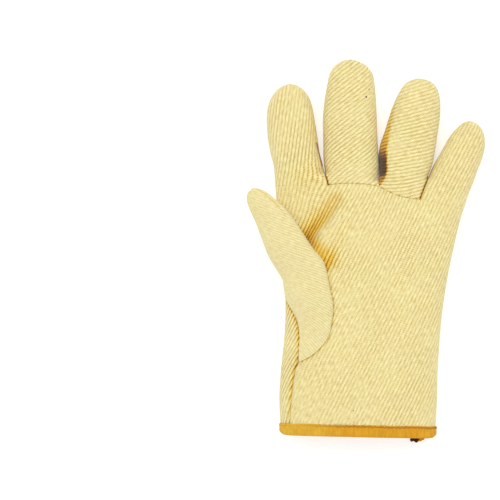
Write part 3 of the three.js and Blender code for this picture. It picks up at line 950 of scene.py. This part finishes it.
# The tape's loose end: a frayed grain that thins towards both ends. Shade is painted on it, darkest
# on its left half, lighter and uneven on its right
u, v = np.meshgrid(np.linspace(0, 1, 41), np.linspace(0, 2 * np.pi, 17), indexing="ij")
girth = np.sqrt(np.clip(1 - (2 * u - 1) ** 6, 0, 1))
girth = girth * (1 + 0.22 * np.sin(19 * u) + 0.15 * np.sin(7 * u + 2 * v))
tail_x = TAIL_X + TAIL_LENGTH * u + 0.3 * np.sin(v)
tail_y = TAIL_Y + 0.6 * u + 0.5 * np.sin(9 * u) + 1.8 * girth * np.cos(v)
tail_grid = np.stack([tail_x, tail_y, np.maximum(1.3 + 1.15 * girth * np.sin(v), LEAST_Z)], -1)
tail_uv = np.stack([14 * u, 8 * v / (2 * np.pi)], -1)
tail_painted_shade = 0.98 - 0.6 * ease((u - 0.45) / 0.3) + 0.3 * np.sin(14 * u + v) * (u > 0.5)
tail_patch = (tail_grid[:, ::-1], tail_uv[:, ::-1], tail_painted_shade[:, ::-1], 1.0)
tape = make_piece("hem_tape", [(tape_grid, tape_uv, tape_tone, 1.0), tail_patch])
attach(tape, "root")
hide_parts("hem_binding")
print("tape:", len(tape.data.polygons), "faces")

# %% [markdown]
# Stitches
# A stitch is a short grain of thread: a pointed bead, longer than wide, half sunk in the cloth. All
# stitches of a seam are copies of one small template, placed at even steps along a line.

# %% Stitches
BEAD_SIDES = 6
BEAD_RINGS = np.array([[-0.42, 0.62], [-0.2, 1], [0.2, 1], [0.42, 0.62]])  # place along it, width


def bead_template():
    """A bead of unit length and width along x: rings of six points on circles between two poles."""
    angle = np.arange(BEAD_SIDES) * 2 * np.pi / BEAD_SIDES
    place, width = BEAD_RINGS.T
    across = [np.outer(width, wave(angle)).ravel() / 2 for wave in (np.cos, np.sin)]
    rings = np.stack([np.repeat(place, BEAD_SIDES), *across], -1)
    points = np.concatenate([rings, [[-0.5, 0, 0], [0.5, 0, 0]]])
    pairs = [(n, (n + 1) % BEAD_SIDES) for n in range(BEAD_SIDES)]
    starts = [r * BEAD_SIDES for r in range(len(BEAD_RINGS))]
    faces = [[r + b, s + b, s + a, r + a] for r, s in zip(starts, starts[1:]) for a, b in pairs]
    faces += [[len(rings), b, a] for a, b in pairs]
    faces += [[len(rings) + 1, starts[-1] + a, starts[-1] + b] for a, b in pairs]
    return points, faces


def sew(name, lines, pitch, length, width, slant=0.0):
    """Stitches along lines of (points, normals) in millimetres. Each is turned by the slant, in
    degrees, to the left and right in turn, which makes a zigzag."""
    points, faces = bead_template()
    made, shape, count = [], [], 0

    def unit(v):
        """The same direction with length one."""
        return v / np.maximum(np.linalg.norm(v, axis=1, keepdims=True), 1e-9)

    for line, normal in lines:
        way = lengths(line, axis=0)

        def at_way(values, place):
            """Values of the line's points, read off at lengths along it."""
            return np.stack([np.interp(place, way, column) for column in values.T], -1)

        at = np.arange(pitch / 2, way[-1], pitch)
        ahead = unit(at_way(line, at + 0.3) - at_way(line, at - 0.3))
        up = at_way(normal, at)
        up = unit(up - (up * ahead).sum(1, keepdims=True) * ahead)
        side = np.cross(up, ahead)
        a = np.radians(slant) * np.where(np.arange(len(at)) % 2, 1, -1)[:, None]
        first, second = ahead * np.cos(a) + side * np.sin(a), side * np.cos(a) - ahead * np.sin(a)
        grain = at_way(line, at)[:, None]
        for k, (axis, size) in enumerate(((first, length), (second, width), (up, width * 0.8))):
            grain = grain + points[None, :, k, None] * size * axis[:, None]
        made.append(grain.reshape(-1, 3))
        for _ in at:
            shape.extend([[v + count for v in face] for face in faces])
            count += len(points)
    mesh = bpy.data.meshes.new(name)
    mesh.from_pydata(((np.concatenate(made) + [0, MIDDLE_Y, 0]) * MM).tolist(), [], shape)
    mesh.polygons.foreach_set("use_smooth", np.ones(len(mesh.polygons), bool))
    print(name, len(mesh.polygons), "faces")
    return add_object(name, mesh)


seam_lines = []
for name in STRIPS:
    grid = rear[name, "finger"][0]
    normal = -normals_of(grid)
    for lane, since in zip((4, -5), CROTCH_Y[name]):
        rows = grid[:, lane, 1] > since + 3
        rows[-3:] = False
        seam_lines.append((grid[rows, lane], normal[rows, lane]))
grid = rear["little", "hand"][0]
rows = grid[:, -5, 1] > HEM_Y + 9
seam_lines.append((grid[rows, -5], -normals_of(grid)[rows, -5]))
seam_stitches = sew("seam_stitches", seam_lines, pitch=3.0, length=1.9, width=0.62)
tape_line = tape_grid[:, 2] + (tape_grid[:, 3] - tape_grid[:, 2]) * 0.35
tape_normal = np.pad(np.insert(out, 1, 0, axis=1), ((0, 1), (0, 0)), mode="wrap")
tape_line = [(tape_line + 0.08 * tape_normal, tape_normal)]
tape_stitches = sew("tape_stitches", tape_line, pitch=1.55, length=2.2, width=0.75, slant=42)
for piece, kind in ((seam_stitches, "aramid_cloth"), (tape_stitches, "binding_tape")):
    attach(piece, "root")

# %% [markdown]
# Building with nodes
# A material is a net of nodes whose sockets are linked. Written out, each node takes several lines,
# so a few helpers make a node, fill its inputs and do its sums. An input is given a number or a
# colour, which sets it, or another node's socket, which is linked to it.

# %% Node helpers
def fill(tree, node, inputs):
    """Sets a node's inputs to numbers and colours, or links them to sockets."""
    for key, value in inputs.items():
        if isinstance(value, bpy.types.NodeSocket):
            tree.links.new(value, node.inputs[key])
        else:
            node.inputs[key].default_value = value


def add(tree, kind, inputs=None, **settings):
    """A shader node with its settings and inputs. Returns its outputs."""
    node = tree.nodes.new("ShaderNode" + kind)
    for key, value in settings.items():
        setattr(node, key, value)
    fill(tree, node, inputs or {})
    return node.outputs


def maths(tree, operation, a, b=None, clamp=False):
    """A Math node on one or two values."""
    values = {0: a} if b is None else {0: a, 1: b}
    return add(tree, "Math", values, operation=operation, use_clamp=clamp)[0]


def sums(tree):
    """The four sums of arithmetic in one node tree: plus, less, times and over."""
    return [
        lambda a, b, clamp=False, kind=kind: maths(tree, kind, a, b, clamp)
        for kind in ("ADD", "SUBTRACT", "MULTIPLY", "DIVIDE")
    ]


def blend(tree, share, a, b, kind="MIX"):
    """A Mix Color node: colour a at share 0, colour b at share 1."""
    inputs = {"Factor": share, "A": a, "B": b}
    return add(tree, "Mix", inputs, data_type="RGBA", blend_type=kind)["Result"]


def noise(tree, place, scale, detail):
    """A Noise Texture over a place."""
    return add(tree, "TexNoise", {"Vector": place, "Scale": scale, "Detail": detail})


def new_group(name, inputs, outputs):
    """An empty node group with named sockets, its given values and its result node."""
    group = bpy.data.node_groups.new(name, "ShaderNodeTree")
    for way, sockets in (("INPUT", inputs), ("OUTPUT", outputs)):
        for socket, kind in sockets.items():
            group.interface.new_socket(socket, in_out=way, socket_type="NodeSocket" + kind)
    return group, group.nodes.new("NodeGroupInput").outputs, group.nodes.new("NodeGroupOutput")


def new_material(name, **inputs):
    """A material with its node tree and its Principled BSDF."""
    material = bpy.data.materials.new(name)
    material.use_nodes = True
    tree = material.node_tree
    shader = tree.nodes["Principled BSDF"]
    fill(tree, shader, {key.replace("_", " "): value for key, value in inputs.items()})
    return material, tree, shader


# %% [markdown]
# Ribbed cloth
# The cloth is a bold twill: fat rounded ribs with narrow, darker grooves. Both come from the UV map's
# first coordinate, and the yarns that cross each rib from both. The cloth is fluffy and worn, so
# noise breaks up the grooves. Where shade is painted on it, its colour is multiplied by golden, then
# brown and near black, as shade on yellow cloth looks. A node group works all this out once and puts
# out a colour and a height.

# %% Twill group
# stops of the painted shade's colours between white and near black
PAINTED_SHADE_STOPS = [(0.25, (0.92, 0.72, 0.14, 1)), (0.5, (0.83, 0.47, 0.03, 1)), (0.75, (0.4, 0.2, 0.08, 1))]


def twill_group():
    """Pattern of ribs and yarns from a UV map in metres. Rib: |sin(pi u / pitch)| to the power 0.5.
    Yarn: the same to the power 0.7, along a slanted way. Height: 1 less their dip times Clear. The
    colour is then darkened and warmed by the painted shade that comes in."""
    inputs = {"UV": "Vector", "Pitch": "Float", "Painted_shade_and_tint": "Float", "Clear": "Float"}
    inputs.update({"Rib": "Color", "Groove": "Color"})
    group, given, result = new_group("Twill", inputs, {"Color": "Color", "Height": "Float"})
    plus, less, times, over = sums(group)
    uv, painted_shade_and_tint, clear = given["UV"], given["Painted_shade_and_tint"], given["Clear"]

    def ridges(value, power):
        """Rounded ridges with sharp grooves between them, one for each whole number."""
        wave = maths(group, "ABSOLUTE", maths(group, "SINE", times(value, np.pi)))
        return maths(group, "POWER", wave, power)

    way = add(group, "SeparateXYZ", {0: uv})
    wobble = times(less(noise(group, uv, 240, 2)["Fac"], 0.5), 0.34)
    rib = plus(over(way["X"], given["Pitch"]), wobble)
    cord = ridges(rib, 0.5)
    strand = ridges(plus(times(over(way["Y"], given["Pitch"]), 1.5), times(rib, 1.45)), 0.7)
    dip = times(less(1.0, plus(times(cord, 0.75), times(strand, 0.25))), clear)
    height = less(1.0, dip)

    # the groove's colour comes in dashes, where a yarn dives under, and is worn off in blotches
    dash = less(2.0, times(strand, 1.6))
    worn = less(times(noise(group, uv, 32, 3)["Fac"], 2.8), 0.3)
    groove = times(times(less(1.0, cord), times(dash, worn)), clear)
    drawn_out = add(group, "CombineXYZ", {"X": way["X"], "Y": times(way["Y"], 0.4)})[0]
    fluff = times(less(noise(group, drawn_out, 620, 3)["Fac"], 0.5), 1.35)
    share = less(plus(fluff, plus(times(clear, 0.2), 0.61)), groove, clamp=True)
    colour = blend(group, share, given["Groove"], given["Rib"])

    # where shade is painted half way, it also darkens the grooves most: shade + 3.4 shade (1 - shade)
    # (0.68 - height)
    half_shaded = times(times(painted_shade_and_tint, less(1.0, painted_shade_and_tint)), 3.4)
    # colours of the painted shade: white where none is painted, then golden, orange, brown, near black
    painted_shade_ramp = group.nodes.new("ShaderNodeValToRGB")
    stops = painted_shade_ramp.color_ramp.elements
    stops[0].color, stops[1].color = (1, 1, 1, 1), (0.05, 0.025, 0.035, 1)
    for place, shade in PAINTED_SHADE_STOPS:
        stops.new(place).color = shade
    fill(group, painted_shade_ramp, {0: plus(painted_shade_and_tint, times(half_shaded, less(0.68, height)), clamp=True)})
    # the cloth's colour times its painted shade
    with_painted_shade = blend(group, 1, colour, painted_shade_ramp.outputs[0], "MULTIPLY")
    mottled = blend(group, 0.1, with_painted_shade, noise(group, uv, 60, 4)["Color"], "SOFT_LIGHT")
    fill(group, result, {"Color": mottled, "Height": height})
    return group


SPECKS = [(0.2, 120.2, 0.62), (2.4, 126.2, 0.42), (-10.0, -123.8, 0.36)]  # x, y, radius


def speck_group():
    """Mask of the few small specks of soot on the palm's side, from a place on the glove: one inside
    a speck's radius, fading just outside it."""
    group, given, result = new_group("Specks", {"Place": "Vector"}, {"Mask": "Float"})
    plus, less, times, over = sums(group)
    way = add(group, "SeparateXYZ", {0: given["Place"]})
    mask = 0.0
    for x, y, radius in SPECKS:
        off_x = maths(group, "POWER", less(way["X"], x * MM), 2.0)
        off_y = maths(group, "POWER", less(way["Y"], y * MM), 2.0)
        distance = over(plus(off_x, off_y), (radius * MM) ** 2)
        mask = maths(group, "MAXIMUM", less(1.8, distance, clamp=True), mask)
    on_top = maths(group, "GREATER_THAN", way["Z"], 15 * MM)
    fill(group, result, {"Mask": times(mask, on_top)})
    return group


TWILL, SOOT = twill_group(), speck_group()

# %% [markdown]
# Three cloths and two threads
# The glove's cloth, the finer looking cloth of the thumb, whose ribs lie closer, and the tape are the
# same pattern at another pitch and in other shades. Of the two attributes of each mesh, the first is
# the shade painted into its colour where the cloth lies deep (on the tape also a tint), and the second
# says where the cloth is worn. Thread is too fine for a pattern and gets two shades by a fine noise.

# %% Materials
SOOT_COLOUR = (0.05, 0.035, 0.02, 1)


def cloth_material(name, pitch, rib, groove, relief, sheen=0.25):
    """Matt yellow cloth with the twill's ribs in colour and bump, and shade painted into its colour.
    """
    material, tree, shader = new_material(
        name, Roughness=0.9, Specular_IOR_Level=0.2, Sheen_Weight=sheen, Sheen_Roughness=0.6
    )
    twill = add(
        tree,
        "Group",
        {
            "UV": add(tree, "UVMap", uv_map="Cloth")["UV"],
            # shade painted into the colour, from the mesh, and on the hem tape a tint
            "Painted_shade_and_tint": add(tree, "Attribute", attribute_name="painted_shade_and_tint")["Fac"],
            "Clear": add(tree, "Attribute", attribute_name="ribs")["Fac"],
            "Pitch": pitch * MM,
            "Rib": (*rib, 1),
            "Groove": (*groove, 1),
        },
        node_tree=TWILL,
    )
    soot = add(tree, "Group", {"Place": add(tree, "TexCoord")["Object"]}, node_tree=SOOT)["Mask"]
    bump = add(tree, "Bump", {"Strength": 1, "Distance": relief * MM, "Height": twill["Height"]})
    colour = blend(tree, soot, twill["Color"], SOOT_COLOUR)
    fill(tree, shader, {"Base Color": colour, "Normal": bump["Normal"]})
    return material


def thread_material(name, colour, other, worn=None):
    """Twisted thread: two shades of it by a fine noise, matt. A worn thread takes on another colour
    towards the glove's left side."""
    material, tree, shader = new_material(name, Roughness=0.85)
    place = add(tree, "TexCoord")["Object"]
    shade = blend(tree, noise(tree, place, 900, 2)["Fac"], (*colour, 1), (*other, 1))
    if worn:
        plus, _, times, _ = sums(tree)
        x = add(tree, "SeparateXYZ", {0: place})["X"]
        shade = blend(tree, times(plus(x, 58 * MM), 22.0, clamp=True), (*worn, 1), shade)
    fill(tree, shader, {"Base Color": shade})
    return material


aramid = cloth_material("Aramid twill", 2.75, (0.885, 0.79, 0.40), (0.53, 0.385, 0.11), 0.36)
fine_aramid = cloth_material(
    "Aramid twill of the thumb", 1.95, (0.85, 0.755, 0.40), (0.62, 0.50, 0.20), 0.22
)
tape_cloth = cloth_material(
    "Woven tape", 0.8, (0.82, 0.505, 0.046), (0.50, 0.235, 0.014), 0.15, sheen=0.05
)
# real seam thread, made dark brown so that it also stands for shade in its needle holes
seam_thread_and_shade = thread_material("Seam thread", (0.16, 0.09, 0.03), (0.30, 0.19, 0.06))
tape_thread = thread_material(
    "Tape thread", (0.28, 0.1, 0.008), (0.5, 0.2, 0.012), worn=(0.72, 0.42, 0.04)
)
for piece, material in (
    *((piece, aramid) for piece in (palm, middle_front, ring_front, back_cloth)),
    (thumb, fine_aramid),
    (tape, tape_cloth),
    (seam_stitches, seam_thread_and_shade),
    (tape_stitches, tape_thread),
):
    piece.data.materials.append(material)
print("materials:", sorted(material.name for material in bpy.data.materials))

# %% [markdown]
# Table, light and camera
# The glove lies on a plain pale floor under a wide soft light, as in a catalogue. The camera looks
# straight down through a long lens, so the glove's outline isn't bent by perspective.

# %% Stage
FRAME_WIDTH = 390 * MM  # what the picture spans at the height of the glove's widest points
CAMERA_HEIGHT = 6
WIDEST_LEVEL = 0.014
PICTURE_X, PICTURE_Y = -90.4 * MM, 0.95 * MM
FLOOR_REACH, FLOOR_LEVEL = 3.0, -0.0004
FLOOR_GLOW = 0.52  # lifts the floor to white without washing out the glove's own shadow
SENSOR = 36

WHITE, FLOOR_COLOUR = (1, 1, 1, 1), (0.62, 0.62, 0.62, 1)
LAMPS = [  # name, place, size, watts
    ("Key", (-0.5, 0.85, 2.2), 1.5, 20),
    ("Fill", (1.1, -0.5, 2.0), 1.8, 10),
]

signs = ((-1, -1), (1, -1), (1, 1), (-1, 1))
corners = [(x * FLOOR_REACH, y * FLOOR_REACH, FLOOR_LEVEL) for x, y in signs]
floor_mesh = bpy.data.meshes.new("floor")
floor_mesh.from_pydata(corners, [], [(0, 1, 2, 3)])
floor = add_object("floor", floor_mesh)
floor_paint = new_material(
    "Pale floor",
    Base_Color=FLOOR_COLOUR,
    Roughness=0.95,
    Emission_Color=WHITE,
    Emission_Strength=FLOOR_GLOW,
)[0]
floor_mesh.materials.append(floor_paint)

world = bpy.data.worlds.new("Studio")
world.use_nodes = True
fill(world.node_tree, world.node_tree.nodes["Background"], {"Color": WHITE, "Strength": 0.75})
bpy.context.scene.world = world

for name, place, size, power in LAMPS:
    data = bpy.data.lights.new(name, "AREA")
    data.size, data.energy = size, power
    lamp = add_object(name, data)
    lamp.location = place
    lamp.rotation_mode = "QUATERNION"
    lamp.rotation_quaternion = Vector(-np.array(place)).to_track_quat("-Z", "Y")

camera_data = bpy.data.cameras.new("Camera")
camera_data.sensor_width = SENSOR
camera_data.lens = SENSOR * (CAMERA_HEIGHT - WIDEST_LEVEL) / FRAME_WIDTH
camera_data.clip_end = 20
camera = add_object("Camera", camera_data)
camera.location = (PICTURE_X, PICTURE_Y, CAMERA_HEIGHT)
bpy.context.scene.camera = camera
bpy.context.scene.view_settings.view_transform = "Standard"
print("lens:", round(camera_data.lens), "mm")
